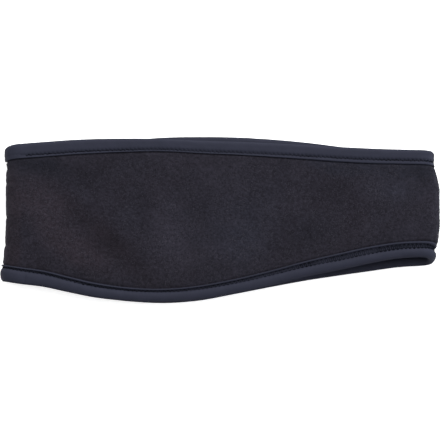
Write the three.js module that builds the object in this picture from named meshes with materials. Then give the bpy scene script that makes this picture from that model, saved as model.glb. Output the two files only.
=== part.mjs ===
// Ear warmer headband, laid flat: one closed loop of fleece in two layers, with
// a folded stretch binding round each of its two long edges.
// Millimetres. +X runs along the laid band, +Y from the ear edge to the brow
// edge, +Z up through the two layers. The under layer lies on Z = 0.
import * as THREE from "three";

// Overall sizes of the laid band.
const BAND_LENGTH = 250;
const BAND_HEIGHT = 94;
const FOLD_HEIGHT = 15;

// Fleece: free thickness, and thickness where a binding presses it.
const FLEECE_THICKNESS = 2.6;
const PRESSED_THICKNESS = 1.4;

// Binding: finished width, overall depth, and the cloth at its outer bend.
const BINDING_WIDTH = 8.4;
const BINDING_DEPTH = 4.6;
const BINDING_WALL = 1;

// Clearance between the fleece and each binding.
const PIECE_GAP = 0.3;

// Steps along each layer and round each end fold.
const LAYER_STEPS = 28;
const FOLD_STEPS = 8;

// The upper layer's slope is read this share of its length to either side.
const SLOPE_REACH = 0.02;

const CLOTH_COLOURS = {
  fleece_band: { color: 0x2b2a32, roughness: 0.95, metalness: 0 },
  top_binding: { color: 0x2e3145, roughness: 0.6, metalness: 0 },
  bottom_binding: { color: 0x2e3145, roughness: 0.6, metalness: 0 },
};

// Edge lines of both layers from the left fold (0) to the right fold (1), as
// shares of BAND_HEIGHT above or below the middle.
const EDGE_LINES = [
  { at: 0.00, upperTop: 0.440, upperBottom: -0.371, lowerTop: 0.433, lowerBottom: -0.371 },
  { at: 0.02, upperTop: 0.455, upperBottom: -0.377, lowerTop: 0.447, lowerBottom: -0.377 },
  { at: 0.05, upperTop: 0.463, upperBottom: -0.388, lowerTop: 0.456, lowerBottom: -0.389 },
  { at: 0.10, upperTop: 0.473, upperBottom: -0.404, lowerTop: 0.466, lowerBottom: -0.404 },
  { at: 0.16, upperTop: 0.484, upperBottom: -0.438, lowerTop: 0.474, lowerBottom: -0.437 },
  { at: 0.22, upperTop: 0.490, upperBottom: -0.469, lowerTop: 0.481, lowerBottom: -0.470 },
  { at: 0.30, upperTop: 0.492, upperBottom: -0.491, lowerTop: 0.488, lowerBottom: -0.495 },
  { at: 0.38, upperTop: 0.490, upperBottom: -0.495, lowerTop: 0.501, lowerBottom: -0.504 },
  { at: 0.46, upperTop: 0.480, upperBottom: -0.480, lowerTop: 0.504, lowerBottom: -0.488 },
  { at: 0.54, upperTop: 0.474, upperBottom: -0.445, lowerTop: 0.501, lowerBottom: -0.449 },
  { at: 0.62, upperTop: 0.465, upperBottom: -0.398, lowerTop: 0.489, lowerBottom: -0.408 },
  { at: 0.70, upperTop: 0.454, upperBottom: -0.346, lowerTop: 0.470, lowerBottom: -0.369 },
  { at: 0.78, upperTop: 0.441, upperBottom: -0.302, lowerTop: 0.444, lowerBottom: -0.337 },
  { at: 0.85, upperTop: 0.432, upperBottom: -0.262, lowerTop: 0.418, lowerBottom: -0.311 },
  { at: 0.92, upperTop: 0.426, upperBottom: -0.231, lowerTop: 0.398, lowerBottom: -0.286 },
  { at: 1.00, upperTop: 0.422, upperBottom: -0.225, lowerTop: 0.391, lowerBottom: -0.277 },
];

// Visible width of each binding as a share of BINDING_WIDTH, and height of the
// upper layer as a share of FOLD_HEIGHT: it sags between the two springy folds.
const LAYER_FORM = [
  { at: 0.00, topStrip: 0.94, bottomStrip: 1.10, rise: 0.98 },
  { at: 0.08, topStrip: 0.97, bottomStrip: 1.08, rise: 0.97 },
  { at: 0.22, topStrip: 0.95, bottomStrip: 0.98, rise: 0.95 },
  { at: 0.38, topStrip: 0.86, bottomStrip: 0.91, rise: 0.93 },
  { at: 0.50, topStrip: 0.86, bottomStrip: 0.97, rise: 0.93 },
  { at: 0.65, topStrip: 0.93, bottomStrip: 1.03, rise: 0.93 },
  { at: 0.82, topStrip: 0.98, bottomStrip: 1.14, rise: 0.94 },
  { at: 0.93, topStrip: 0.96, bottomStrip: 1.07, rise: 0.97 },
  { at: 1.00, topStrip: 0.95, bottomStrip: 1.06, rise: 1.00 },
];

// How far each end fold stays inside BAND_LENGTH, as a share of it, from the
// ear edge (0) to the brow edge (1). The left fold flares to the lower corner;
// the right fold bulges between the bindings.
const FOLD_ENDS = [
  { across: 0.00, left: 0.0000, right: 0.0098 },
  { across: 0.06, left: 0.0002, right: 0.0080 },
  { across: 0.12, left: 0.0018, right: 0.0075 },
  { across: 0.18, left: 0.0052, right: 0.0020 },
  { across: 0.30, left: 0.0106, right: 0.0001 },
  { across: 0.50, left: 0.0130, right: 0.0000 },
  { across: 0.65, left: 0.0124, right: 0.0006 },
  { across: 0.75, left: 0.0122, right: 0.0034 },
  { across: 0.83, left: 0.0118, right: 0.0072 },
  { across: 0.90, left: 0.0100, right: 0.0122 },
  { across: 1.00, left: 0.0088, right: 0.0110 },
];

// Section of a binding from its outer bend (0) to its free lip (1), with its
// half depth as a share of half BINDING_DEPTH. It is rolled full along the
// edge and drawn in by the stitching before the lip.
const BINDING_SECTION = [
  { along: 0.00, swell: 0.36 },
  { along: 0.05, swell: 0.76 },
  { along: 0.16, swell: 0.94 },
  { along: 0.30, swell: 1.00 },
  { along: 0.54, swell: 1.00 },
  { along: 0.66, swell: 0.92 },
  { along: 0.76, swell: 0.87 },
  { along: 1.00, swell: 0.90 },
];

// Where the cavity of a binding and the pressed fleece in it are sampled, as
// shares of the binding's width.
const PRESSED_SHARES = [0.35, 0.7, 1];

// Free fleece between the two bindings, as shares of its width: the cloth
// bellies out from the bindings' mid depth (0) to their outer face (1).
const FREE_FLEECE = [
  { along: 0.12, belly: 0.55 },
  { along: 0.28, belly: 1.00 },
  { along: 0.50, belly: 1.00 },
  { along: 0.72, belly: 1.00 },
  { along: 0.88, belly: 0.55 },
];

// Beyond the lip the fleece swells to its free thickness over this length.
const SWELL_LENGTH = 1;

function smoothTable(rows, key, columns) {
  const positions = rows.map((row) => row[key]);
  const samples = rows.flatMap((row) => columns.map((column) => row[column]));
  const curve = new THREE.CubicInterpolant(positions, samples, columns.length);
  return (where) => {
    const values = curve.evaluate(where);
    return Object.fromEntries(columns.map((column, i) => [column, values[i]]));
  };
}

const edgeLinesAt = smoothTable(EDGE_LINES, "at", [
  "upperTop",
  "upperBottom",
  "lowerTop",
  "lowerBottom",
]);
const layerFormAt = smoothTable(LAYER_FORM, "at", ["topStrip", "bottomStrip", "rise"]);
const foldEndsAt = smoothTable(FOLD_ENDS, "across", ["left", "right"]);

// Outer skin of the loop seen along Y: the flat under layer, the right fold,
// the sagging upper layer and the left fold, each point with its outward normal.
function skinPath() {
  const leftRadius = (FOLD_HEIGHT * LAYER_FORM[0].rise) / 2;
  const rightRadius = (FOLD_HEIGHT * LAYER_FORM[LAYER_FORM.length - 1].rise) / 2;
  const layerRun = BAND_LENGTH - leftRadius - rightRadius;
  const path = [];
  for (let i = 0; i <= LAYER_STEPS; i += 1) {
    const x = leftRadius + (layerRun * i) / LAYER_STEPS;
    path.push({ x, z: 0, normalX: 0, normalZ: -1 });
  }
  for (let i = 1; i < FOLD_STEPS; i += 1) {
    const turn = Math.PI * (i / FOLD_STEPS - 0.5);
    path.push({
      x: BAND_LENGTH - rightRadius + rightRadius * Math.cos(turn),
      z: rightRadius + rightRadius * Math.sin(turn),
      normalX: Math.cos(turn),
      normalZ: Math.sin(turn),
    });
  }
  for (let i = LAYER_STEPS; i >= 0; i -= 1) {
    const x = leftRadius + (layerRun * i) / LAYER_STEPS;
    const here = i / LAYER_STEPS;
    const riseBefore = layerFormAt(here - SLOPE_REACH).rise * FOLD_HEIGHT;
    const riseAfter = layerFormAt(here + SLOPE_REACH).rise * FOLD_HEIGHT;
    const slope = (riseAfter - riseBefore) / (2 * SLOPE_REACH * layerRun);
    const size = Math.hypot(slope, 1);
    path.push({
      x,
      z: layerFormAt(here).rise * FOLD_HEIGHT,
      normalX: -slope / size,
      normalZ: 1 / size,
    });
  }
  for (let i = 1; i < FOLD_STEPS; i += 1) {
    const turn = Math.PI * (i / FOLD_STEPS + 0.5);
    path.push({
      x: leftRadius + leftRadius * Math.cos(turn),
      z: leftRadius + leftRadius * Math.sin(turn),
      normalX: Math.cos(turn),
      normalZ: Math.sin(turn),
    });
  }
  return path;
}

// A station adds the two edge lines and the strip widths to a skin point.
function stationOf(skin) {
  const at = skin.x / BAND_LENGTH;
  const lines = edgeLinesAt(at);
  const form = layerFormAt(at);
  const lift = Math.min(1, skin.z / (FOLD_HEIGHT * form.rise));
  return {
    ...skin,
    at,
    top: THREE.MathUtils.lerp(lines.lowerTop, lines.upperTop, lift) * BAND_HEIGHT,
    bottom: THREE.MathUtils.lerp(lines.lowerBottom, lines.upperBottom, lift) * BAND_HEIGHT,
    topStrip: form.topStrip * BINDING_WIDTH,
    bottomStrip: form.bottomStrip * BINDING_WIDTH,
  };
}

// Point of a station at height y across the band, this deep under the skin.
function pointAt(station, y, depth) {
  const across = (y - station.bottom) / (station.top - station.bottom);
  const ends = foldEndsAt(across);
  const along = ends.left + (1 - ends.left - ends.right) * station.at - 0.5;
  return [
    along * BAND_LENGTH - depth * station.normalX,
    y,
    station.z - depth * station.normalZ,
  ];
}

// Closed U section of a binding as [distance from its outer bend, depth].
function bindingOutline(width) {
  const middle = BINDING_DEPTH / 2;
  const cavity = PRESSED_THICKNESS / 2 + PIECE_GAP;
  const outerFace = BINDING_SECTION.map((row) => [row.along * width, middle * (1 - row.swell)]);
  const innerFace = BINDING_SECTION.map((row) => [row.along * width, middle * (1 + row.swell)]);
  const cavityRun = [BINDING_WALL, ...PRESSED_SHARES.map((share) => share * width)];
  const cavityInner = cavityRun.map((distance) => [distance, middle + cavity]);
  const cavityOuter = cavityRun.map((distance) => [distance, middle - cavity]);
  return [...outerFace.reverse(), ...innerFace, ...cavityInner.reverse(), ...cavityOuter];
}

function bindingRing(station, edge) {
  const isTop = edge === "top";
  const width = isTop ? station.topStrip : station.bottomStrip;
  const outline = bindingOutline(width);
  const ring = outline.map(([distance, depth]) => {
    const y = isTop ? station.top - distance : station.bottom + distance;
    return pointAt(station, y, depth);
  });
  return isTop ? ring : ring.reverse();
}

// Closed section of the fleece: pressed inside both bindings, free between.
function fleeceRing(station) {
  const middle = BINDING_DEPTH / 2;
  const freeMiddle = FLEECE_THICKNESS / 2;
  const edgeInset = BINDING_WALL + PIECE_GAP;
  const pressed = (strip) => [edgeInset, ...PRESSED_SHARES.map((share) => share * strip)];
  const lowLip = station.bottom + station.bottomStrip;
  const highLip = station.top - station.topStrip;
  const lowFree = lowLip + SWELL_LENGTH;
  const highFree = highLip - SWELL_LENGTH;
  const rows = [];
  for (const distance of pressed(station.bottomStrip)) {
    rows.push({ y: station.bottom + distance, centre: middle, half: PRESSED_THICKNESS / 2 });
  }
  rows.push({ y: lowFree, centre: middle, half: freeMiddle });
  for (const row of FREE_FLEECE) {
    rows.push({
      y: THREE.MathUtils.lerp(lowFree, highFree, row.along),
      centre: THREE.MathUtils.lerp(middle, freeMiddle, row.belly),
      half: freeMiddle,
    });
  }
  rows.push({ y: highFree, centre: middle, half: freeMiddle });
  for (const distance of pressed(station.topStrip).reverse()) {
    rows.push({ y: station.top - distance, centre: middle, half: PRESSED_THICKNESS / 2 });
  }
  const outerFace = rows.map((row) => pointAt(station, row.y, row.centre - row.half));
  const innerFace = rows.map((row) => pointAt(station, row.y, row.centre + row.half));
  return [...outerFace, ...innerFace.reverse()];
}

// Joins the section rings of all stations, the last one to the first.
function loopGeometry(rings) {
  const ringSize = rings[0].length;
  const corners = [];
  for (let i = 0; i < rings.length; i += 1) {
    const nextRing = (i + 1) % rings.length;
    for (let j = 0; j < ringSize; j += 1) {
      const nextPoint = (j + 1) % ringSize;
      const here = i * ringSize + j;
      const beside = i * ringSize + nextPoint;
      const ahead = nextRing * ringSize + j;
      const opposite = nextRing * ringSize + nextPoint;
      corners.push(here, beside, ahead, beside, opposite, ahead);
    }
  }
  const geometry = new THREE.BufferGeometry();
  geometry.setAttribute("position", new THREE.Float32BufferAttribute(rings.flat(2), 3));
  geometry.setIndex(corners);
  return geometry;
}

function buildHeadband() {
  const stations = skinPath().map(stationOf);
  const geometries = {
    fleece_band: loopGeometry(stations.map(fleeceRing)),
    top_binding: loopGeometry(stations.map((station) => bindingRing(station, "top"))),
    bottom_binding: loopGeometry(stations.map((station) => bindingRing(station, "bottom"))),
  };

  const bounds = new THREE.Box3();
  for (const geometry of Object.values(geometries)) {
    geometry.computeBoundingBox();
    bounds.union(geometry.boundingBox);
  }
  const centre = bounds.getCenter(new THREE.Vector3());

  const headband = new THREE.Group();
  headband.name = "ear_warmer_headband";
  for (const [name, geometry] of Object.entries(geometries)) {
    geometry.translate(-centre.x, -centre.y, -bounds.min.z);
    geometry.computeVertexNormals();
    const mesh = new THREE.Mesh(geometry, new THREE.MeshStandardMaterial(CLOTH_COLOURS[name]));
    mesh.name = name;
    headband.add(mesh);
  }
  return headband;
}

export default buildHeadband();
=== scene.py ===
"""Looks of the ear warmer headband: a dark fleece loop laid flat, both edges bound and sewn."""

import math

import bpy
import numpy as np
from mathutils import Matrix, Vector


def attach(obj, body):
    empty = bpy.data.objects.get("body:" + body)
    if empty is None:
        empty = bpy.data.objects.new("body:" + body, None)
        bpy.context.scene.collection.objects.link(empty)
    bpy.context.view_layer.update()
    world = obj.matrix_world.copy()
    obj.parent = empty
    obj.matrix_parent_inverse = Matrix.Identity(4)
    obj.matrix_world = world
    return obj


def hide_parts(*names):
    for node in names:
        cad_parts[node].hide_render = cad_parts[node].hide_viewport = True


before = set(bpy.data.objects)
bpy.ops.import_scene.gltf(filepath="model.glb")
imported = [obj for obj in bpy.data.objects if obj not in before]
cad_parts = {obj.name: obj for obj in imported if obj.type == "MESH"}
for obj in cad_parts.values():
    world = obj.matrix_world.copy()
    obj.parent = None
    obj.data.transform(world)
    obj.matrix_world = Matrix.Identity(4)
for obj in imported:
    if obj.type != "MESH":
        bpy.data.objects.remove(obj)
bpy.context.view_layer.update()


def table(names, *rows):
    """Rows of numbers under named columns."""
    return [dict(zip(names, row)) for row in rows]


# Sizes in millimetres, as in the part's source.
MM = 0.001
BAND_LENGTH = 250.0
BAND_HEIGHT = 94.0
FOLD_HEIGHT = 15.0
FLEECE_THICKNESS = 2.6
PRESSED_THICKNESS = 1.4
BINDING_WIDTH = 8.4
BINDING_DEPTH = 4.6
BINDING_WALL = 1.0
PIECE_GAP = 0.3

# Edges of the upper and the lower layer along the band, as shares of BAND_HEIGHT
# from its middle line.
EDGE_LINES = table(
    ("at", "upper_top", "upper_bottom", "lower_top", "lower_bottom"),
    (0.00, 0.440, -0.371, 0.433, -0.371),
    (0.02, 0.455, -0.377, 0.447, -0.377),
    (0.05, 0.463, -0.388, 0.456, -0.389),
    (0.10, 0.473, -0.404, 0.466, -0.404),
    (0.16, 0.484, -0.438, 0.474, -0.437),
    (0.22, 0.490, -0.469, 0.481, -0.470),
    (0.30, 0.492, -0.491, 0.488, -0.495),
    (0.38, 0.490, -0.495, 0.501, -0.504),
    (0.46, 0.480, -0.480, 0.504, -0.488),
    (0.54, 0.474, -0.445, 0.501, -0.449),
    (0.62, 0.465, -0.398, 0.489, -0.408),
    (0.70, 0.454, -0.346, 0.470, -0.369),
    (0.78, 0.441, -0.302, 0.444, -0.337),
    (0.85, 0.432, -0.262, 0.418, -0.311),
    (0.92, 0.426, -0.231, 0.398, -0.286),
    (1.00, 0.422, -0.225, 0.391, -0.277),
)
# Widths of the two bindings as shares of BINDING_WIDTH, and the height of the upper
# layer as a share of FOLD_HEIGHT.
LAYER_FORM = table(
    ("at", "top_strip", "bottom_strip", "rise"),
    (0.00, 0.94, 1.10, 0.98),
    (0.08, 0.97, 1.08, 0.97),
    (0.22, 0.95, 0.98, 0.95),
    (0.38, 0.86, 0.91, 0.93),
    (0.50, 0.86, 0.97, 0.93),
    (0.65, 0.93, 1.03, 0.93),
    (0.82, 0.98, 1.14, 0.94),
    (0.93, 0.96, 1.07, 0.97),
    (1.00, 0.95, 1.06, 1.00),
)
# Where the padded roll of each binding ends and where its free lip starts and
# ends, as shares of the strip from the outer bend; the stitches lie between. The
# thread columns say how thick the threads are.
STITCH_LINES = table(
    ("at", "top_roll", "top_lip", "top_end", "top_thread",
     "bottom_roll", "bottom_lip", "bottom_end", "bottom_thread"),
    (0.00, 0.79, 0.89, 1.035, 0.70, 0.84, 0.93, 1.035, 0.90),
    (0.18, 0.81, 0.89, 1.03, 0.75, 0.75, 0.87, 1.03, 1.00),
    (0.32, 0.785, 0.88, 0.985, 0.60, 0.74, 0.84, 0.985, 1.05),
    (0.50, 0.80, 0.91, 1.03, 0.45, 0.72, 0.88, 1.02, 1.00),
    (0.66, 0.75, 0.86, 1.035, 0.60, 0.68, 0.90, 1.035, 1.10),
    (0.80, 0.71, 0.81, 1.035, 0.70, 0.58, 0.89, 1.035, 1.20),
    (0.92, 0.70, 0.80, 1.035, 0.70, 0.58, 0.87, 1.035, 1.20),
    (1.00, 0.70, 0.81, 1.035, 0.65, 0.60, 0.86, 1.035, 1.05),
)
# Patches painted lighter or darker, and warmer or bluer: the lighter and darker
# ones are partly nap brushed lighter or darker and partly painted shade and light
# of soft swells and of a diagonal fold crease. Ellipses in millimetres, turned by
# some degrees.
NAP_AND_PAINTED_SHADE_PATCHES = table(
    ("x", "y", "reach_x", "reach_y", "turn", "tone_and_painted_shade", "warmth"),
    (-103, 31, 15, 6, -8, -0.26, -0.4),
    (-79, 26, 16, 8, -15, -0.22, -0.1),
    (-102, 11, 20, 11, -25, 0.18, 0.7),
    (-84, -15, 24, 8, -32, 0.17, 0.9),
    # Painted shadow of the diagonal fold crease that LAYER_SWELLS also dents in.
    (-63, -13, 27, 7, -44, -0.37, 0.5),
    (-54, 2, 10, 8, 0, 0.07, -0.2),
    (-46, 7, 7, 12, 10, -0.08, -0.1),
    (-28, -8, 9, 20, 8, 0.32, 0.0),
    (-11, 10, 7, 12, 0, -0.08, 0.0),
    (12, -2, 24, 34, 0, 0.13, -0.24),
    (14, -14, 14, 10, 15, 0.11, -0.2),
    (51, -4, 10, 14, 30, -0.09, -0.2),
    (66, 16, 11, 8, 10, -0.12, 0.0),
    (70, 31, 16, 5, -5, 0.10, -0.9),
    (96, 17, 17, 8, -8, 0.30, -0.25),
    (100, 31, 22, 5, -4, -0.02, -1.2),
    (117, 26, 9, 9, 0, -0.22, -0.1),
    (-38, -16, 30, 14, 10, 0.08, 0.0),
    (-6, -18, 9, 9, 0, 0.10, 0.1),
    (103, -3, 9, 9, 0, 0.13, 0.0),
    (37, -12, 10, 10, 0, -0.17, 0.0),
    (31, 28, 10, 8, 0, -0.06, 0.0),
    (-55, 28, 9, 8, 0, -0.06, 0.0),
    (82, -4, 12, 8, 20, 0.07, 0.0),
    (-119, -5, 5, 24, 0, -0.02, 1.4),
)
# Each patch fades out at this many times its reach.
PATCH_FADE = 1.7
# Soft swells and dents of the upper layer, ellipses in millimetres as above.
LAYER_SWELLS = table(
    ("x", "y", "reach_x", "reach_y", "turn", "height"),
    (-107, 2, 15, 30, 0, 0.7),
    (-100, 31, 16, 6, -8, -0.5),
    (-76, -26, 22, 9, -30, 0.5),
    (-61, -14, 26, 4.5, -44, -0.6),
    (-66, 24, 16, 16, 0, -0.5),
    (-20, -2, 28, 30, 0, 0.8),
    (55, 8, 20, 30, 0, -0.6),
    (104, 12, 18, 24, 0, 0.8),
)
# How far each fold stays short of the band's ends, as a share of BAND_LENGTH, from
# the bottom edge (0) to the top edge (1).
FOLD_ENDS = table(
    ("across", "left", "right"),
    (0.00, 0.0000, 0.0098),
    (0.06, 0.0002, 0.0080),
    (0.12, 0.0018, 0.0075),
    (0.18, 0.0052, 0.0020),
    (0.30, 0.0106, 0.0001),
    (0.50, 0.0130, 0.0000),
    (0.65, 0.0124, 0.0006),
    (0.75, 0.0122, 0.0034),
    (0.83, 0.0118, 0.0072),
    (0.90, 0.0100, 0.0122),
    (1.00, 0.0088, 0.0110),
)
# Half depth of each binding, as a share of half BINDING_DEPTH: its roll from the
# outer bend (0) to the stitches (1), then its lip from there (0) to its end (1).
ROLL_SECTION = table(
    ("along", "top", "bottom"),
    (0.00, 0.00, 0.00),
    (0.015, 0.29, 0.29),
    (0.06, 0.62, 0.56),
    (0.14, 0.83, 0.77),
    (0.26, 0.94, 0.92),
    (0.42, 0.98, 1.02),
    (0.60, 1.00, 1.05),
    (0.76, 1.01, 1.00),
    (0.90, 0.97, 0.84),
    (1.00, 0.86, 0.60),
)
LIP_SECTION = table(
    ("along", "top", "bottom"),
    (0.00, 0.85, 0.60),
    (0.25, 0.88, 0.87),
    (0.50, 0.91, 0.95),
    (0.80, 0.92, 0.86),
    (1.00, 0.76, 0.60),
)
# Half depth in the sewn groove between roll and lip, and its sag between threads.
GROOVE_DEPTH = {"top": 0.84, "bottom": 0.50}
GROOVE_RIM = 0.03
GROOVE_SAG = 0.05
# Where each section has its points, as shares of the roll, the groove and the lip.
ROLL_STEPS = np.array([
    0, 0.008, 0.025, 0.055, 0.10, 0.16, 0.24, 0.34, 0.45, 0.56, 0.67, 0.77, 0.86, 0.93, 0.975,
])
GROOVE_STEPS = np.array([0.0, 0.2, 0.4, 0.6, 0.8, 1.0])
LIP_STEPS = np.array([0.2, 0.4, 0.6, 0.78, 0.92, 1.0])
# Way along Y from each edge into the band, and seeds of the bindings' unevenness.
INWARD = {"top": -1, "bottom": 1}
BINDING_SEED = {"top": 100, "bottom": 200}

# Join of the bottom binding near the left end, as a share of the band's length, and
# small wrinkles of the left fold at these heights above the middle.
JOIN_AT = 0.058
JOIN_DEPTH = 0.34
JOIN_WIDTH = 0.55
FOLD_WRINKLES = (29.5, 21.0, 2.0, -14.0)
WRINKLE_DEPTH = 0.45
WRINKLE_WIDTH = 1.1
WRINKLE_SLANT = 40
# The fleece's relief as height, cell size and seed, and its puckers by the seams.
FLEECE_RELIEF = ((0.10, 1.4, 11), (0.10, 3.6, 21), (0.14, 9.0, 31))
PUCKER_DEPTH = 0.16

# Stitches: their pitch, the notches that they pull into the roll and the lip, the
# least cover over the slot, and the threads.
STITCH_PITCH = 2.35
ROLL_DENT = 0.24
LIP_DENT = 0.12
ROLL_PULL = 0.08
LEAST_COVER = 0.12
ROW_THREAD_RADIUS = 0.28
ZIGZAG_THREAD_RADIUS = 0.14
THREAD_SIDES = 4
THREAD_REST = 0.16
# The top binding shows no stitches on its upper face up to this share of the band's
# length, and its notches grow in over the next range.
PLAIN_END = 0.055
PLAIN_FADE = (0.03, 0.085)

# Fibre ends of the nap: their number on each face, their size, their taper from
# root to tip, and how far they stay from the lips of the bindings.
OUTER_FIBRES = 88000
INNER_FIBRES = 26000
NAP_LENGTH = 1.1
NAP_WIDTH = 0.17
NAP_TAPER = (0.8, 1.0, 0.3)
NAP_STEPS = len(NAP_TAPER) - 1
NAP_FROM_LIP = 0.5

# Rounding of the folds in millimetres, and how finely the pieces are divided.
SMOOTHING = 4.0
SKIN_SAMPLES = 4000
FLEECE_RINGS = 560
OUTER_ROWS = 104
INNER_ROWS = 56
BINDING_RINGS = 1500
UV_PER_METRE = 10


def smooth(rows, key, column, where):
    """Smooth curve through one column of a table, level beyond its ends."""
    x = np.array([row[key] for row in rows])
    y = np.array([row[column] for row in rows])
    slope = np.gradient(y)
    slope[1:-1] = (y[2:] - y[:-2]) / (x[2:] - x[:-2])
    slope[0] = 1.5 * (y[1] - y[0]) / (x[1] - x[0]) - 0.5 * slope[1]
    slope[-1] = 1.5 * (y[-1] - y[-2]) / (x[-1] - x[-2]) - 0.5 * slope[-2]
    where = np.clip(where, x[0], x[-1])
    i = np.clip(np.searchsorted(x, where, side="right") - 1, 0, len(x) - 2)
    span = x[i + 1] - x[i]
    t = (where - x[i]) / span
    return (
        (2 * t**3 - 3 * t**2 + 1) * y[i]
        + (t**3 - 2 * t**2 + t) * span * slope[i]
        + (3 * t**2 - 2 * t**3) * y[i + 1]
        + (t**3 - t**2) * span * slope[i + 1]
    )


def ease(low, high, value):
    """Soft step from 0 at low to 1 at high."""
    t = np.clip((value - low) / (high - low), 0, 1)
    return t * t * (3 - 2 * t)


def around_mean(values, reach):
    """Gaussian mean round the closed loop; reach is its sigma in samples."""
    offsets = np.arange(-int(3 * reach), int(3 * reach) + 1)
    weights = np.exp(-0.5 * (offsets / reach) ** 2)
    weights /= weights.sum()
    return sum(w * np.roll(values, k) for w, k in zip(weights, offsets))


def skin_path(count):
    """Outer skin of the loop seen along Y, evenly spaced, with outward normals."""
    left = FOLD_HEIGHT * LAYER_FORM[0]["rise"] / 2
    right = FOLD_HEIGHT * LAYER_FORM[-1]["rise"] / 2
    run = BAND_LENGTH - left - right
    share = np.linspace(0, 1, 1500)
    turn = np.linspace(-math.pi / 2, math.pi / 2, 300)[1:-1]
    rise = smooth(LAYER_FORM, "at", "rise", share) * FOLD_HEIGHT
    x = np.concatenate([
        left + run * share,
        BAND_LENGTH - right + right * np.cos(turn),
        (left + run * share)[::-1],
        left - left * np.cos(turn),
    ])
    z = np.concatenate([
        0 * share,
        right + right * np.sin(turn),
        rise[::-1],
        left - left * np.sin(turn),
    ])
    steps = np.hypot(np.diff(x, append=x[0]), np.diff(z, append=z[0]))
    length = np.concatenate([[0], np.cumsum(steps)])
    even = np.arange(SKIN_SAMPLES) * length[-1] / SKIN_SAMPLES
    x = np.interp(even, length, np.append(x, x[0]))
    z = np.interp(even, length, np.append(z, z[0]))
    reach = SMOOTHING / (length[-1] / SKIN_SAMPLES)
    x = around_mean(x, reach)
    z = around_mean(z, reach)
    x = (x - x.min()) / (x.max() - x.min()) * BAND_LENGTH
    z = z - z.min()
    pick = np.arange(count) * SKIN_SAMPLES / count
    grid = np.arange(SKIN_SAMPLES + 1)
    dx = np.gradient(np.concatenate([x[-2:], x, x[:2]]))[2:-2]
    dz = np.gradient(np.concatenate([z[-2:], z, z[:2]]))[2:-2]
    size = np.hypot(dx, dz)

    def take(values):
        """Values at the picked places."""
        return np.interp(pick, grid, np.append(values, values[0]))

    return {
        "x": take(x),
        "z": take(z),
        "nx": take(dz / size),
        "nz": take(-dx / size),
        "along": pick / SKIN_SAMPLES * length[-1],
        "length": length[-1],
    }


def stations(count):
    """Skin points with the two edge lines and strip widths, as columns."""
    st = skin_path(count)
    at = st["x"] / BAND_LENGTH
    height = np.clip(st["z"] / (smooth(LAYER_FORM, "at", "rise", at) * FOLD_HEIGHT), 0, 1)
    lift = ease(0, 1, height) * 0.3 + height * 0.7
    st["at"] = at
    st["lift"] = lift
    for edge in ("top", "bottom"):
        low = smooth(EDGE_LINES, "at", "lower_" + edge, at)
        high = smooth(EDGE_LINES, "at", "upper_" + edge, at)
        st[edge] = (low * (1 - lift) + high * lift) * BAND_HEIGHT
        st[edge + "_strip"] = smooth(LAYER_FORM, "at", edge + "_strip", at) * BINDING_WIDTH
    for column in STITCH_LINES[0]:
        if column != "at":
            st[column] = smooth(STITCH_LINES, "at", column, at)
    return {
        key: value[:, None] if isinstance(value, np.ndarray) else value
        for key, value in st.items()
    }


def place(st, y, depth):
    """Points in millimetres at height y across the band, this deep under the skin."""
    across = (y - st["bottom"]) / (st["top"] - st["bottom"])
    left = smooth(FOLD_ENDS, "across", "left", across)
    right = smooth(FOLD_ENDS, "across", "right", across)
    x = (left + (1 - left - right) * st["at"] - 0.5) * BAND_LENGTH - depth * st["nx"]
    z = st["z"] - depth * st["nz"]
    return np.stack([x, y + 0 * x, z], axis=-1)


def laid(st, depth):
    """Depth with the under layer kept on the surface that the band lies on."""
    lying = 1 - ease(0.0, 0.12, st["lift"])
    return np.where(lying > 0.5, np.maximum(depth, 0.0), depth)


def cloth_noise(along, across, cell, seed, length):
    """Smooth random relief from -1 to 1 that closes on itself round the loop."""
    columns = max(4, round(length / cell))
    rows = int(np.max(across) / cell) + 4
    grid = np.random.default_rng(seed).uniform(-1, 1, (columns, rows))
    u = along / length * columns
    v = across / cell + 1
    i, j = np.floor(u).astype(int), np.floor(v).astype(int)
    fu, fv = u - i, v - j
    fu, fv = fu * fu * (3 - 2 * fu), fv * fv * (3 - 2 * fv)
    a = grid[i % columns, j]
    b = grid[(i + 1) % columns, j]
    c = grid[i % columns, j + 1]
    d = grid[(i + 1) % columns, j + 1]
    return (a * (1 - fu) + b * fu) * (1 - fv) + (c * (1 - fu) + d * fu) * fv


def new_piece(name, mesh, material):
    """Smooth object of one material, placed in the scene."""
    mesh.shade_smooth()
    mesh.materials.append(material)
    piece = bpy.data.objects.new(name, mesh)
    bpy.context.collection.objects.link(piece)
    return piece


def grid_mesh(name, verts, quads, uv, material):
    """Piece from points in millimetres, four-sided faces and a UV pair per corner."""
    mesh = bpy.data.meshes.new(name)
    mesh.vertices.add(len(verts))
    mesh.vertices.foreach_set("co", (verts * MM).astype(np.float32).ravel())
    mesh.loops.add(quads.size)
    mesh.loops.foreach_set("vertex_index", quads.ravel().astype(np.int32))
    mesh.polygons.add(len(quads))
    mesh.polygons.foreach_set("loop_start", np.arange(0, quads.size, 4, dtype=np.int32))
    mesh.update(calc_edges=True)
    layer = mesh.uv_layers.new(name="cloth")
    layer.data.foreach_set("uv", uv.astype(np.float32).ravel())
    return new_piece(name, mesh, material)


def closed_loop(name, points, along, across, material):
    """Mesh of section rings, closed round the loop and round each section."""
    count, ring = points.shape[:2]
    i = np.arange(count)[:, None]
    j = np.arange(ring)[None, :]
    ahead, beside = (i + 1) % count, (j + 1) % ring
    corners = [i * ring + j, i * ring + beside, ahead * ring + beside, ahead * ring + j]
    quads = np.stack(corners, axis=-1).reshape(-1, 4)
    flat = np.stack([along + 0 * across, across + 0 * along], axis=-1)
    uv = flat.reshape(-1, 2)[quads.ravel()] * MM * UV_PER_METRE
    return grid_mesh(name, points.reshape(-1, 3), quads, uv, material)


# Materials


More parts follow.
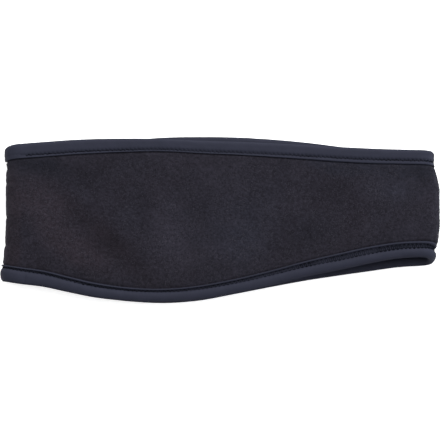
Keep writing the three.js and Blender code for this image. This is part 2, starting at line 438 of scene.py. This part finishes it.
def node(tree, kind, **inputs):
    """Adds a shader node; its named inputs are values or sockets."""
    new = tree.nodes.new(kind)
    for key, value in inputs.items():
        socket = new.inputs[key.replace("_", " ")]
        if isinstance(value, bpy.types.NodeSocket):
            tree.links.new(value, socket)
        else:
            socket.default_value = value
    return new


def math_node(tree, operation, first, second):
    """Result of one operation on two values or sockets."""
    new = tree.nodes.new("ShaderNodeMath")
    new.operation = operation
    for socket, value in zip(new.inputs, (first, second)):
        if isinstance(value, bpy.types.NodeSocket):
            tree.links.new(value, socket)
        else:
            socket.default_value = value
    return new.outputs["Value"]


def map_range(tree, value, source, target, kind="LINEAR"):
    """Value brought from the source range to the target range."""
    new = node(
        tree,
        "ShaderNodeMapRange",
        Value=value,
        From_Min=source[0],
        From_Max=source[1],
        To_Min=target[0],
        To_Max=target[1],
    )
    new.interpolation_type = kind
    return new.outputs["Result"]


def noise(tree, where, scale, detail, roughness=0.5):
    """Noise from 0 to 1 at each place of the part."""
    new = node(
        tree, "ShaderNodeTexNoise", Vector=where, Scale=scale, Detail=detail, Roughness=roughness
    )
    return new.outputs["Fac"]


def colour_mix(tree, factor, low, high):
    """Colour from low to high by the factor."""
    new = tree.nodes.new("ShaderNodeMix")
    new.data_type = "RGBA"
    tree.links.new(factor, new.inputs["Factor"])
    new.inputs["A"].default_value = (*low, 1)
    new.inputs["B"].default_value = (*high, 1)
    return new.outputs["Result"]


def vector_math(tree, operation, vector):
    """Vector math node with its first input linked."""
    new = tree.nodes.new("ShaderNodeVectorMath")
    new.operation = operation
    tree.links.new(vector, new.inputs[0])
    return new


def scaled(tree, colour, amount):
    """Colour times the amount."""
    new = vector_math(tree, "SCALE", colour)
    tree.links.new(amount, new.inputs["Scale"])
    return new.outputs["Vector"]


def add_bump(tree, shader, height, strength, distance):
    """Small relief on the shaded surface; distance is in metres."""
    bump = node(tree, "ShaderNodeBump", Strength=strength, Distance=distance, Height=height)
    tree.links.new(bump.outputs["Normal"], shader.inputs["Normal"])


def plain_material(name, colour, roughness, specular):
    """Material of one colour, with its node tree and shader."""
    material = bpy.data.materials.new(name)
    material.use_nodes = True
    tree = material.node_tree
    shader = tree.nodes["Principled BSDF"]
    shader.inputs["Base Color"].default_value = (*colour, 1)
    shader.inputs["Roughness"].default_value = roughness
    shader.inputs["Specular IOR Level"].default_value = specular
    return material, tree, shader


def patch_sum(tree, where, column):
    """Sum of the patches' values in one column at each place: nap brushed lighter or darker with
    painted shade and light, or warmth.
    """
    total = 0.0
    for row in NAP_AND_PAINTED_SHADE_PATCHES:
        if row[column] == 0:
            continue
        own = node(
            tree,
            "ShaderNodeMapping",
            Vector=where,
            Location=(row["x"] * MM, row["y"] * MM, 0),
            Rotation=(0, 0, math.radians(row["turn"])),
            Scale=(row["reach_x"] * MM, row["reach_y"] * MM, 1),
        )
        own.vector_type = "TEXTURE"
        far = vector_math(tree, "LENGTH", own.outputs["Vector"]).outputs["Value"]
        fade = map_range(tree, far, (0.0, PATCH_FADE), (row[column], 0.0), "SMOOTHSTEP")
        total = math_node(tree, "ADD", total, fade)
    return total


def fleece_material():
    """Brushed fleece: patches of painted shade and light mixed with brushed nap, random clouds of
    lighter and darker cloth, fine specks and a soft sheen.
    """
    material, tree, shader = plain_material("fleece", (0.016, 0.0148, 0.0215), 0.95, 0.05)
    where = node(tree, "ShaderNodeTexCoord").outputs["Object"]
    hue = map_range(tree, noise(tree, where, 42.0, 3.0, 0.6), (0.35, 0.65), (0.30, 0.50))
    warmth = math_node(tree, "ADD", hue, patch_sum(tree, where, "warmth"))
    colour = colour_mix(tree, warmth, (0.0120, 0.0121, 0.0175), (0.0154, 0.0127, 0.0169))
    cloud = map_range(tree, noise(tree, where, 75.0, 2.0), (0.3, 0.7), (0.92, 1.12))
    # Painted shade and light of the patches, added to random clouds of lighter and darker cloth.
    tone_and_painted_shade = math_node(tree, "ADD", patch_sum(tree, where, "tone_and_painted_shade"), cloud)
    fine = noise(tree, where, 620.0, 4.0, 0.75)
    speck = map_range(tree, fine, (0.3, 0.7), (0.55, 1.45))
    colour = scaled(tree, colour, math_node(tree, "MULTIPLY", speck, tone_and_painted_shade))
    tree.links.new(colour, shader.inputs["Base Color"])
    shader.inputs["Sheen Weight"].default_value = 0.05
    shader.inputs["Sheen Roughness"].default_value = 0.5
    shader.inputs["Sheen Tint"].default_value = (0.8, 0.8, 1.0, 1)
    add_bump(tree, shader, fine, 0.9, 0.0006)
    return material


def binding_material():
    """Smooth stretch knit, slightly mottled."""
    material, tree, shader = plain_material("binding", (0.021, 0.024, 0.037), 0.62, 0.04)
    where = node(tree, "ShaderNodeTexCoord").outputs["Object"]
    mottle = noise(tree, where, 160.0, 3.0, 0.6)
    colour = colour_mix(tree, mottle, (0.0166, 0.0180, 0.0272), (0.0216, 0.0226, 0.0352))
    tree.links.new(colour, shader.inputs["Base Color"])
    add_bump(tree, shader, noise(tree, where, 1400.0, 2.0), 0.35, 0.0002)
    return material


def thread_material(name, colour):
    """Matte sewing thread."""
    return plain_material(name, colour, 0.9, 0.03)[0]


def nap_material():
    """Fibre ends: each is lighter or darker by the value in its UV."""
    material, tree, shader = plain_material("fleece_nap", (0.024, 0.0225, 0.030), 0.9, 0.05)
    strand = node(tree, "ShaderNodeUVMap")
    strand.uv_map = "cloth"
    own = node(tree, "ShaderNodeSeparateXYZ", Vector=strand.outputs["UV"]).outputs["X"]
    colour = colour_mix(tree, own, (0.0085, 0.0080, 0.0115), (0.0350, 0.0332, 0.0435))
    where = node(tree, "ShaderNodeTexCoord").outputs["Object"]
    # The fibres carry the same painted shade and light of the patches as the fleece under them.
    tone_and_painted_shade = math_node(tree, "ADD", patch_sum(tree, where, "tone_and_painted_shade"), 1.0)
    tree.links.new(scaled(tree, colour, tone_and_painted_shade), shader.inputs["Base Color"])
    return material


FLEECE = fleece_material()
BINDING = binding_material()
# Row thread: dark thread made nearly black, so that it also paints the shade of the needle pits
# and the sewn groove.
ROW_THREAD_WITH_GROOVE_SHADE = thread_material("row_thread_with_groove_shade", (0.0024, 0.0026, 0.0046))
ZIGZAG_THREAD = thread_material("zigzag_thread", (0.0062, 0.0070, 0.0113))
NAP = nap_material()


# Fleece


def layer_relief(st, y, across_share):
    """Soft swells and dents of the upper layer, in millimetres outward."""
    x = (st["at"] - 0.5) * BAND_LENGTH
    swell = 0 * y
    for row in LAYER_SWELLS:
        turn = math.radians(row["turn"])
        from_x, from_y = x - row["x"], y - row["y"]
        along = (from_x * math.cos(turn) + from_y * math.sin(turn)) / row["reach_x"]
        beside = (from_y * math.cos(turn) - from_x * math.sin(turn)) / row["reach_y"]
        swell = swell + row["height"] * np.exp(-(along**2) - beside**2)
    middle = ease(0.0, 0.2, np.minimum(across_share, 1 - across_share))
    return swell * middle * ease(0.6, 1.0, st["lift"])


def fleece_surface(st, rows, side):
    """One face of the fleece; side is 1 on the outer face and -1 on the inner."""
    inset = BINDING_WALL + PIECE_GAP
    low, high = st["bottom"] + inset, st["top"] - inset
    y = low + (high - low) * rows[None, :]
    from_low, from_high = y - st["bottom"], st["top"] - y
    past_low, past_high = from_low - st["bottom_strip"], from_high - st["top_strip"]
    past = np.minimum(past_low, past_high)
    free = ease(0.25, 1.35, past)
    belly = ease(-4.0, 15.0, past)
    centre = BINDING_DEPTH / 2 + (FLEECE_THICKNESS / 2 - BINDING_DEPTH / 2) * belly
    half = (PRESSED_THICKNESS + (FLEECE_THICKNESS - PRESSED_THICKNESS) * free) / 2
    share = (y - low) / (high - low)
    along = st["along"] + 0 * y
    relief = 0.0
    for height, cell, seed in FLEECE_RELIEF:
        relief = relief + height * cloth_noise(along, from_low, cell, seed + side, st["length"])
    pucker = PUCKER_DEPTH * cloth_noise(along, 0 * y, 3.4, 41, st["length"]) * np.exp(-past / 3.0)
    pucker = np.where(past > 0, pucker, 0)
    lift = layer_relief(st, y, share)
    near_fold = np.exp(-((st["at"] / 0.022) ** 2)) * free
    for height in FOLD_WRINKLES:
        beside = (y - height - WRINKLE_SLANT * (st["at"] - 0.01)) / WRINKLE_WIDTH
        lift = lift - WRINKLE_DEPTH * near_fold * np.exp(-(beside**2))
    outward = half * side + (relief + pucker) * free * side + lift
    depth = centre - outward
    if side > 0:
        depth = laid(st, depth)
    return y, depth, along, from_low


def build_fleece(st, faces):
    """The cloth, from its outer face and back along its inner one."""
    y_out, depth_out, along_out, across_out = faces["outer"]
    y_in, depth_in, along_in, across_in = faces["inner"]
    outer, inner = place(st, y_out, depth_out), place(st, y_in, depth_in)
    points = np.concatenate([outer, inner[:, ::-1]], axis=1)
    along = np.concatenate([along_out, along_in[:, ::-1]], axis=1)
    across = np.concatenate([across_out, across_in[:, ::-1]], axis=1)
    return closed_loop("headband_fleece", points, along, across, FLEECE)


def surface_normals(points, side):
    """Unit normals of a grid of points that closes round the loop."""
    round_step = np.roll(points, -1, axis=0) - np.roll(points, 1, axis=0)
    across_step = np.gradient(points, axis=1)
    normal = np.cross(across_step, round_step) * side
    return normal / np.linalg.norm(normal, axis=-1, keepdims=True)


def on_grid(values, u, v):
    """Values of a grid, closed along its first axis, between its points."""
    count, rows = values.shape[:2]
    i = np.floor(u).astype(int)
    j = np.clip(np.floor(v).astype(int), 0, rows - 2)
    fu, fv = (u - i)[..., None], (v - j)[..., None]
    low = values[i % count, j] * (1 - fu) + values[(i + 1) % count, j] * fu
    high = values[i % count, j + 1] * (1 - fu) + values[(i + 1) % count, j + 1] * fu
    return low * (1 - fv) + high * fv


def build_nap(name, st, face, side, count, seed):
    """Short curled fibre ends, as thin tapered ribbons rooted in one face of the fleece."""
    y, depth, _, across = face
    points = place(st, y, depth)
    normals = surface_normals(points, side)
    stations_round, rows = points.shape[:2]
    random = np.random.default_rng(seed)
    step_round = st["length"] / stations_round
    u = random.uniform(0, stations_round, count)
    v = random.uniform(0.02, 0.98, count) * (rows - 1)

    def rooted(values, rows_up):
        """Values over the face, or one for each station, at the fibres' roots."""
        values = np.broadcast_to(values, (stations_round, rows))
        return on_grid(values[..., None], u, rows_up)[..., 0]

    step_across = (rooted(across, v * 0 + rows - 1.001) - rooted(across, v * 0)) / (rows - 1)
    from_low = rooted(across, v)
    from_high = rooted(st["top"] - st["bottom"], v) - from_low
    clear = from_low > rooted(st["bottom_strip"], v) + NAP_FROM_LIP
    clear &= from_high > rooted(st["top_strip"], v) + NAP_FROM_LIP
    tufts = cloth_noise(u * step_round, from_low, 4.0, seed + 1, st["length"])
    tufts = tufts + 0.8 * cloth_noise(u * step_round, from_low, 11.0, seed + 2, st["length"])
    clear &= random.uniform(0, 1, count) < 0.56 + 0.75 * tufts
    u, v, step_across = u[clear], v[clear], step_across[clear]
    amount = len(u)
    reach = random.uniform(NAP_LENGTH * 0.4, NAP_LENGTH * 1.2, amount)
    heading = random.uniform(0, 2 * math.pi, amount)
    bend = random.normal(0, 2.0, amount)
    loft = random.uniform(0.05, 0.22, amount)
    loose = random.uniform(0, 1, amount) < 0.22
    tip = np.where(loose, random.uniform(0.15, 0.45, amount), 0.0)
    t = np.linspace(0, 1, NAP_STEPS + 1)
    angle = heading[:, None] + bend[:, None] * (t[None, :] - 0.5)
    du = np.cumsum(np.cos(angle), axis=1) * (reach / NAP_STEPS)[:, None]
    dv = np.cumsum(np.sin(angle), axis=1) * (reach / NAP_STEPS)[:, None]
    grid_u = u[:, None] + du / step_round
    grid_v = np.clip(v[:, None] + dv / step_across[:, None], 0, rows - 1)
    base = on_grid(points, grid_u, grid_v)
    normal = on_grid(normals, grid_u, grid_v)
    rise = loft[:, None] * np.sin(math.pi * t) + tip[:, None] * t**2 + 0.02
    spine = base + normal * rise[..., None]
    run = np.gradient(spine, axis=1)
    beside = np.cross(run, normal)
    beside /= np.linalg.norm(beside, axis=-1, keepdims=True)
    half = NAP_WIDTH / 2 * random.uniform(0.7, 1.3, amount)[:, None] * np.array(NAP_TAPER)
    beside *= half[..., None]
    verts = np.stack([spine - beside, spine + beside], axis=2)
    verts[..., 2] = np.maximum(verts[..., 2], 0.01)
    first = np.arange(amount)[:, None] * 2 * (NAP_STEPS + 1) + np.arange(NAP_STEPS)[None, :] * 2
    quads = np.stack([first, first + 1, first + 3, first + 2], axis=-1).reshape(-1, 4)
    shade = random.uniform(0, 1, amount) ** 1.6
    uv = np.stack([np.repeat(shade, NAP_STEPS * 4), np.zeros(amount * NAP_STEPS * 4)], axis=-1)
    return grid_mesh(name, verts.reshape(-1, 3), quads, uv, NAP)


# Bindings


def binding_section(st, edge, share, side):
    """Distance from the edge and depth of a binding's face at each share of its width."""
    width = st[edge + "_strip"]
    roll_end, lip_start, lip_end = st[edge + "_roll"], st[edge + "_lip"], st[edge + "_end"]
    along = st["along"] + 0 * share
    seed = BINDING_SEED[edge] + side
    on_roll = smooth(ROLL_SECTION, "along", edge, share / roll_end)
    on_lip = smooth(LIP_SECTION, "along", edge, (share - lip_start) / (lip_end - lip_start))
    between = np.clip((share - roll_end) / (lip_start - roll_end), 0, 1)
    sunk = GROOVE_DEPTH[edge] + GROOVE_RIM - GROOVE_SAG * np.sin(math.pi * between)
    swell = np.where(share < roll_end, on_roll, np.where(share < lip_start, sunk, on_lip))
    sewn = 1.0
    if edge == "top":
        sewn = np.where(st["lift"] > 0.5, ease(*PLAIN_FADE, st["at"]), 1.0)
        level = (share > 0.6) & (share < 0.95 * lip_end)
        swell = np.where(level, np.maximum(swell, 0.95 * (1 - sewn)), swell)
    half = BINDING_DEPTH / 2 * swell
    phase = along / STITCH_PITCH * 2 * math.pi
    tight, slack = 0.5 + 0.5 * np.cos(phase), 0.5 - 0.5 * np.cos(phase)
    at_roll = np.exp(-(((share - roll_end) * width / 0.55) ** 2))
    at_lip = np.exp(-(((share - lip_start) * width / 0.5) ** 2))
    half = half - sewn * ROLL_DENT * at_roll * tight
    half = half - sewn * LIP_DENT * at_lip * slack
    half = np.maximum(half, PRESSED_THICKNESS / 2 + PIECE_GAP + LEAST_COVER)
    roll = np.exp(-(((share / roll_end - 0.5) / 0.38) ** 2))
    half = half + roll * 0.10 * cloth_noise(along, 0 * along, 11.0, seed + 2, st["length"])
    half = half + roll * 0.09 * cloth_noise(along, share * width, 3.0, seed + 4, st["length"])
    near_roll = np.exp(-(((share - roll_end) * width / 1.6) ** 2))
    half = half - ROLL_PULL * np.where(share < roll_end, near_roll, 0) * tight
    if edge == "bottom":
        from_join = (st["at"] - JOIN_AT) * BAND_LENGTH - 2.0 * (share - 0.4)
        join = JOIN_DEPTH * np.exp(-((from_join / JOIN_WIDTH) ** 2)) * roll
        half = half - join * (st["lift"] > 0.5)
    return share * width, BINDING_DEPTH / 2 - side * half


def binding_points(st, edge):
    """Section rings of a binding: outer face, inner face and the slot for the fleece."""
    roll_end, lip_start, lip_end = st[edge + "_roll"], st[edge + "_lip"], st[edge + "_end"]
    on_roll = roll_end * ROLL_STEPS[None, :]
    on_groove = roll_end + (lip_start - roll_end) * GROOVE_STEPS[None, :]
    on_lip = lip_start + (lip_end - lip_start) * LIP_STEPS[None, :]
    share = np.concatenate([on_roll, on_groove, on_lip], axis=1)
    outer = binding_section(st, edge, share, 1)
    inner = binding_section(st, edge, share[:, 1::2], -1)
    slot_half = PRESSED_THICKNESS / 2 + PIECE_GAP
    slot_shares = np.array([0.985, 0.7, 0.4, BINDING_WALL / BINDING_WIDTH])
    slot = slot_shares[None, :] * st[edge + "_strip"]
    slot_in = (slot, BINDING_DEPTH / 2 + slot_half + 0 * slot)
    slot_out = (slot[:, ::-1], BINDING_DEPTH / 2 - slot_half + 0 * slot)
    distance = np.concatenate([outer[0][:, ::-1], inner[0], slot_in[0], slot_out[0]], axis=1)
    depth = np.concatenate([outer[1][:, ::-1], inner[1], slot_in[1], slot_out[1]], axis=1)
    depth = laid(st, depth)
    y = st[edge] + INWARD[edge] * distance
    return place(st, y, depth), st["along"] + 0 * depth, distance


def build_binding(name, edge):
    """One binding, with its rings turned so that its faces look outward."""
    st = stations(BINDING_RINGS)
    points, along, across = binding_points(st, edge)
    if edge == "bottom":
        points, along, across = points[:, ::-1], along[:, ::-1], across[:, ::-1]
    return closed_loop(name, points, along, across, BINDING)


# Stitches


def tube_mesh(name, paths, radii, material):
    """Thin round threads along the given point rows, with closed ends."""
    sides = THREAD_SIDES
    verts, faces = [], []
    for path, radius in zip(paths, radii):
        path = np.asarray(path)
        tangent = np.gradient(path, axis=0)
        tangent /= np.linalg.norm(tangent, axis=1)[:, None]
        helper = np.array([0.0, 0.31, 0.95])
        first = np.cross(tangent, helper)
        first /= np.linalg.norm(first, axis=1)[:, None]
        second = np.cross(tangent, first)
        base = len(verts)
        for k, point in enumerate(path):
            taper = 0.55 if k in (0, len(path) - 1) else 1.0
            for s in range(sides):
                turn = 2 * math.pi * s / sides
                outward = first[k] * math.cos(turn) + second[k] * math.sin(turn)
                verts.append(point + radius * taper * outward)
        for k in range(len(path) - 1):
            for s in range(sides):
                n = (s + 1) % sides
                a, b = base + k * sides + s, base + k * sides + n
                faces.append((a, b, b + sides, a + sides))
        faces.append(tuple(base + s for s in range(sides))[::-1])
        faces.append(tuple(base + (len(path) - 1) * sides + s for s in range(sides)))
    mesh = bpy.data.meshes.new(name)
    mesh.from_pydata([tuple(v * MM) for v in verts], [], faces)
    return new_piece(name, mesh, material)


def stitch_line(st, edge, share, side, bow):
    """Points of one stitch along the given shares of the strip, raised by bow."""
    distance, depth = binding_section(st, edge, share, side)
    depth = depth - side * bow
    if side > 0:
        depth = np.maximum(depth, np.where(st["lift"] < 0.05, THREAD_REST, -np.inf))
    return place(st, st[edge] + INWARD[edge] * distance, depth)[:, 0]


def build_stitches(name, edge):
    """Two rows of short sunk stitches beside the lip with a thinner zigzag between them."""
    count = round(skin_path(8)["length"] / STITCH_PITCH)
    half_steps = 4
    steps = 2 * half_steps
    fine = stations(count * steps)
    random = np.random.default_rng(7 if edge == "top" else 8)
    t = np.linspace(0, 1, half_steps + 1)[:, None]
    arch = np.sin(math.pi * t)
    rows, zigzags, row_sizes, zigzag_sizes = [], [], [], []
    for side in (1, -1):
        uneven = cloth_noise(fine["along"], 0 * fine["along"], 9.0, 90 + side, fine["length"])
        heft = 1 + 0.35 * uneven
        for half_stitch in range(2 * count):
            index = (half_stitch * half_steps + np.arange(half_steps + 1)) % (count * steps)
            st = {key: v[index] if isinstance(v, np.ndarray) else v for key, v in fine.items()}
            plain = edge == "top" and side > 0 and st["at"][0, 0] < PLAIN_END
            if plain and st["lift"][0, 0] > 0.2:
                continue
            lip, roll = st[edge + "_lip"], st[edge + "_roll"]
            span = lip - roll
            size = st[edge + "_thread"][0, 0] * heft[index[0], 0]
            jitter = random.uniform(-0.012, 0.012)
            for swing in (t, 1 - t):
                reach, drift = random.uniform(0.85, 1.1), random.uniform(-0.06, 0.06)
                share = roll + span * (swing * reach + drift) + jitter
                zigzags.append(stitch_line(st, edge, share, side, 0.04 + 0.10 * arch))
                zigzag_sizes.append(ZIGZAG_THREAD_RADIUS * size * random.uniform(0.75, 1.2))
            row = lip - 0.012 if half_stitch % 2 == 0 else roll + 0.012
            tilt = random.uniform(-0.05, 0.05)
            share = row + jitter + tilt * (t - 0.5)
            bow = 0.20 * arch - random.uniform(0.08, 0.20)
            rows.append(stitch_line(st, edge, share, side, bow))
            row_sizes.append(ROW_THREAD_RADIUS * size * random.uniform(0.55, 1.3))
    return (
        tube_mesh(name + "_rows", rows, row_sizes, ROW_THREAD_WITH_GROOVE_SHADE),
        tube_mesh(name + "_zigzag", zigzags, zigzag_sizes, ZIGZAG_THREAD),
    )


fleece_stations = stations(FLEECE_RINGS)
fleece_faces = {
    "outer": fleece_surface(fleece_stations, np.linspace(0, 1, OUTER_ROWS), 1),
    "inner": fleece_surface(fleece_stations, np.linspace(0, 1, INNER_ROWS), -1),
}
fleece = build_fleece(fleece_stations, fleece_faces)
outer_nap = build_nap(
    "fleece_nap_outside", fleece_stations, fleece_faces["outer"], 1, OUTER_FIBRES, 61
)
inner_nap = build_nap(
    "fleece_nap_inside", fleece_stations, fleece_faces["inner"], -1, INNER_FIBRES, 62
)
brow_binding = build_binding("brow_edge_binding", "top")
ear_binding = build_binding("ear_edge_binding", "bottom")
brow_stitches = build_stitches("brow_edge", "top")
ear_stitches = build_stitches("ear_edge", "bottom")
trim = [brow_binding, ear_binding, *brow_stitches, *ear_stitches]

for piece in (fleece, outer_nap, inner_nap, *trim):
    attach(piece, "root")
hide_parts("fleece_band")
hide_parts("top_binding")
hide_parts("bottom_binding")

# Setting: pale floor, soft light from above and from the brow side, and a
# camera straight above. Sizes are in metres.
FLOOR_GLOW = 0.62
FLOOR_PROFILE = table(
    ("radius", "height"),
    (1.0, 0.0),
    (7.0, 0.0),
    (8.4, 0.06),
    (9.3, 0.22),
    (9.8, 0.45),
    (10.0, 0.9),
)
SKY_TOWARD = (0.15, 0.55, 0.82)
SENSOR = 36
CAMERA_HEIGHT = 2.6
FRAMED_WIDTH = 0.25025


def add_floor():
    """Wide pale floor that curves up far away into a low backdrop."""
    turns = 96
    verts = [(0.0, 0.0, 0.0)]
    faces = []
    for row in FLOOR_PROFILE:
        for k in range(turns):
            turn = 2 * math.pi * k / turns
            x, y = row["radius"] * math.cos(turn), row["radius"] * math.sin(turn)
            verts.append((x, y, row["height"]))
    for k in range(turns):
        n = (k + 1) % turns
        faces.append((0, 1 + k, 1 + n))
        for ring in range(len(FLOOR_PROFILE) - 1):
            inner, outer = 1 + ring * turns, 1 + (ring + 1) * turns
            faces.append((inner + k, outer + k, outer + n, inner + n))
    mesh = bpy.data.meshes.new("floor")
    mesh.from_pydata(verts, [], faces)
    floor = bpy.data.objects.new("floor", mesh)
    bpy.context.collection.objects.link(floor)
    floor.location.z = -0.0001
    material, _, shader = plain_material("floor_white", (0.9, 0.9, 0.9), 0.9, 0.1)
    shader.inputs["Emission Color"].default_value = (1, 1, 1, 1)
    shader.inputs["Emission Strength"].default_value = FLOOR_GLOW
    mesh.materials.append(material)


def add_area_light(name, location, size, power, colour):
    """Square light that faces the middle of the band."""
    light = bpy.data.lights.new(name, "AREA")
    light.shape = "SQUARE"
    light.size = size
    light.energy = power
    light.color = colour
    lamp = bpy.data.objects.new(name, light)
    bpy.context.collection.objects.link(lamp)
    lamp.location = location
    lamp.rotation_euler = (-Vector(location)).to_track_quat("-Z", "Y").to_euler()


def add_world(dim, bright):
    """Soft studio sky, brightest overhead toward the brow side and dimmest opposite."""
    world = bpy.data.worlds.new("studio")
    world.use_nodes = True
    tree = world.node_tree
    background = tree.nodes["Background"]
    direction = node(tree, "ShaderNodeTexCoord").outputs["Generated"]
    toward = vector_math(tree, "DOT_PRODUCT", direction)
    toward.inputs[1].default_value = SKY_TOWARD
    strength = map_range(tree, toward.outputs["Value"], (0.1, 1.0), (dim, bright), "SMOOTHSTEP")
    tree.links.new(strength, background.inputs["Strength"])
    background.inputs["Color"].default_value = (1.0, 1.0, 1.0, 1)
    bpy.context.scene.world = world


def add_camera():
    """Camera over the middle that frames the width at half the band's height."""
    camera = bpy.data.cameras.new("camera")
    camera.sensor_width = SENSOR
    camera.clip_end = 20
    holder = bpy.data.objects.new("camera", camera)
    bpy.context.collection.objects.link(holder)
    camera.lens = SENSOR * (CAMERA_HEIGHT - FOLD_HEIGHT / 2 * MM) / FRAMED_WIDTH
    holder.location = (0, 0, CAMERA_HEIGHT)
    bpy.context.scene.camera = holder


add_floor()
add_world(0.12, 1.62)
add_area_light("key", (0.25, 1.10, 1.20), 0.9, 24, (1.0, 1.0, 1.0))
add_area_light("side", (1.50, 0.20, 0.50), 0.7, 12, (0.80, 0.88, 1.0))
add_camera()
bpy.context.scene.view_settings.view_transform = "Standard"
bpy.context.scene.view_settings.look = "None"
